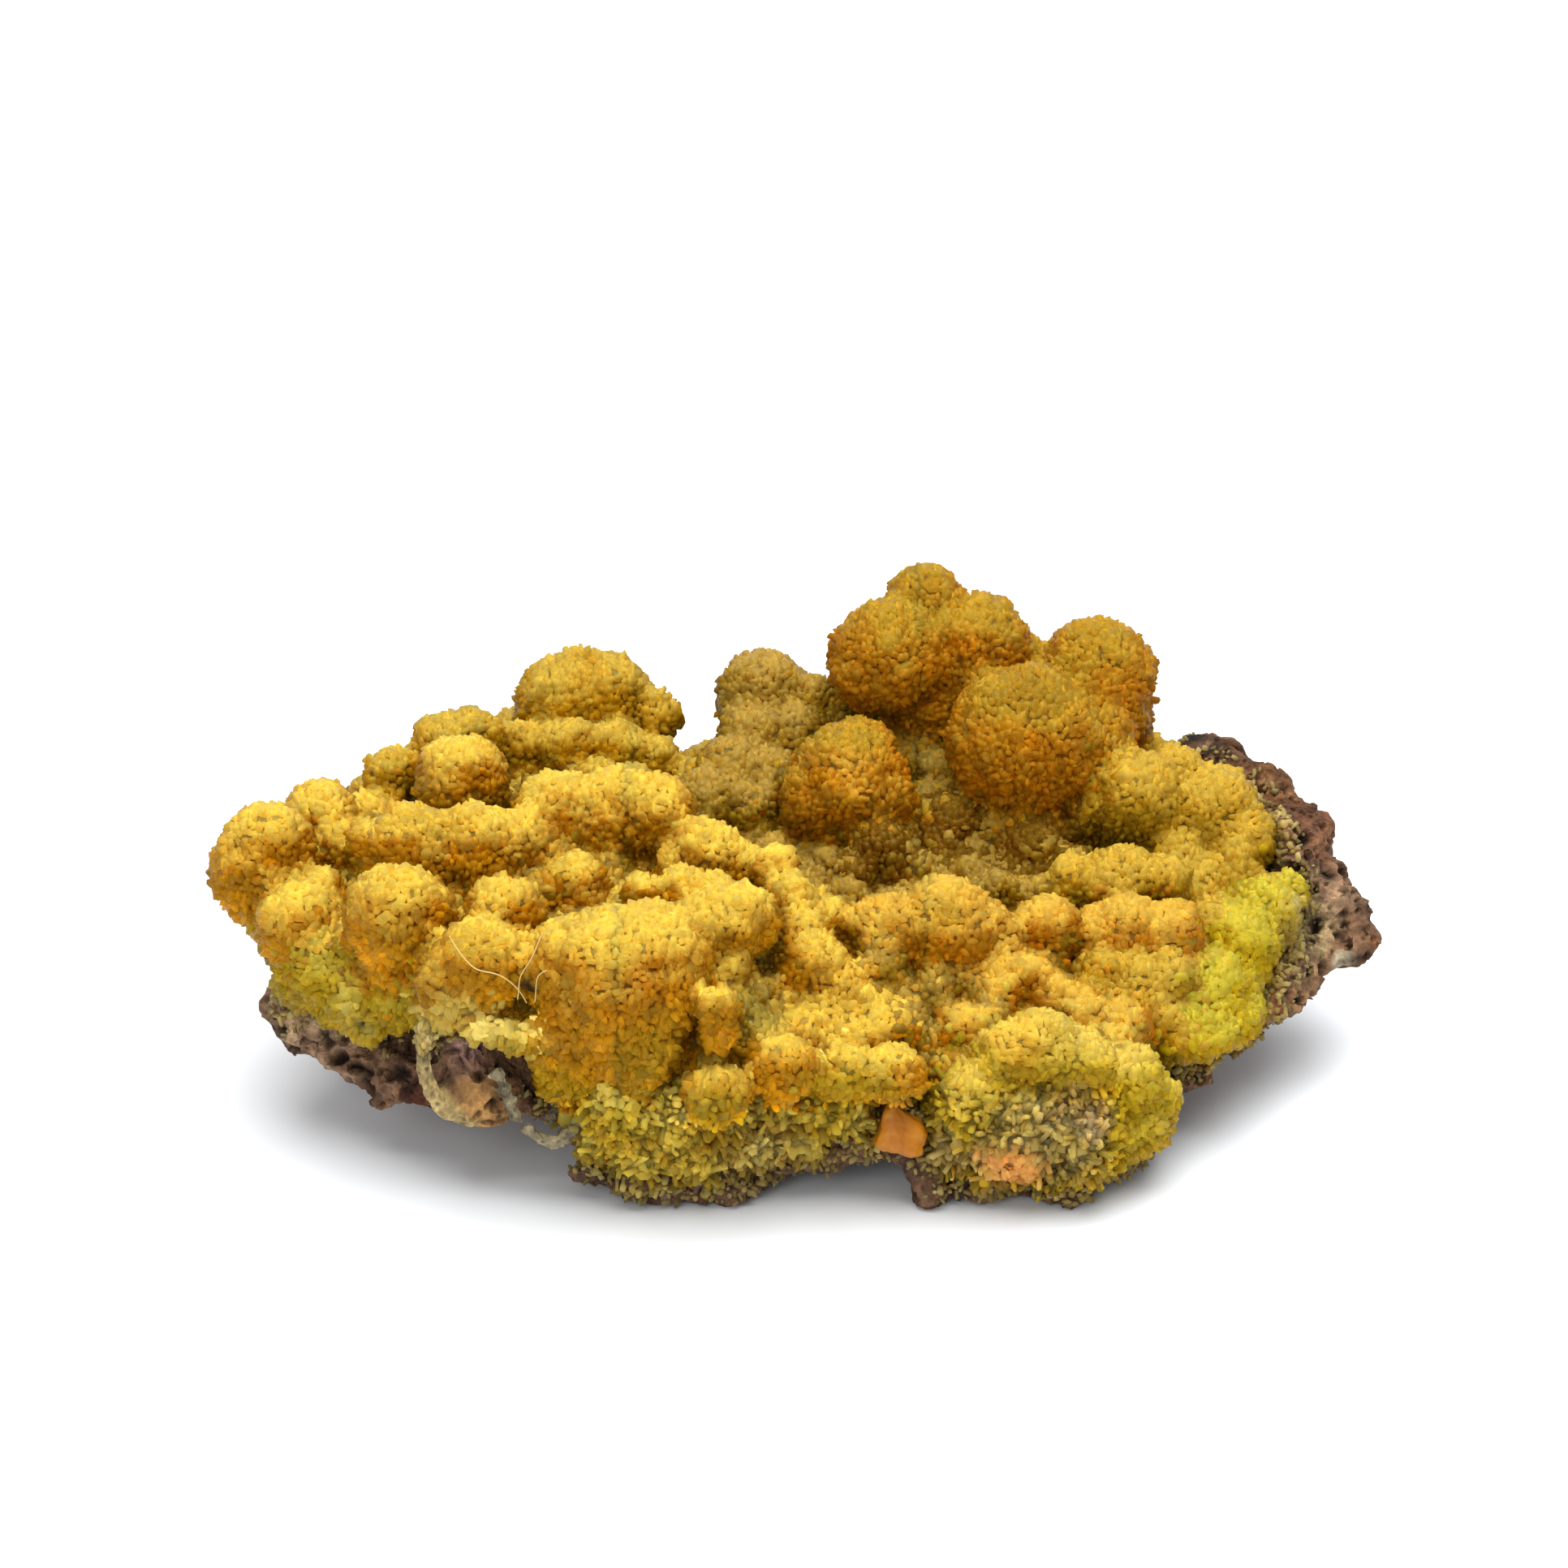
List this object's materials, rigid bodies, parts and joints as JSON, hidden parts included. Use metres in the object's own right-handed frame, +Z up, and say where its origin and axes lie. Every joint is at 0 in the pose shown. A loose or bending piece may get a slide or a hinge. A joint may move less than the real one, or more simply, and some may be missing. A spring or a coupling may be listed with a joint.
{
  "type": "mineral specimen",
  "caption": "Loose hand specimen: a knobbly crust of rounded, finely crystalline balls grown on a rough slab of porous rock, resting on its rock feet.",
  "frame": {"origin": "centre of the specimen's bounding box, at the level of the surface that it rests on", "axes": "+X along the length, towards the bare rock rim; +Y away from the face with the orange crystal; +Z up"},
  "size_m": [0.0586, 0.036, 0.0215],
  "materials": {
    "matrix_rock": "rough, porous, dull",
    "mimetite": "sparkling druse of sub-millimetre crystals",
    "orange_grain": "smooth, waxy"
  },
  "bodies": {
    "root": {"matrix": "matrix_rock", "mimetite_crust": "mimetite", "orange_crystal": "orange_grain"}
  },
  "joints": []
}
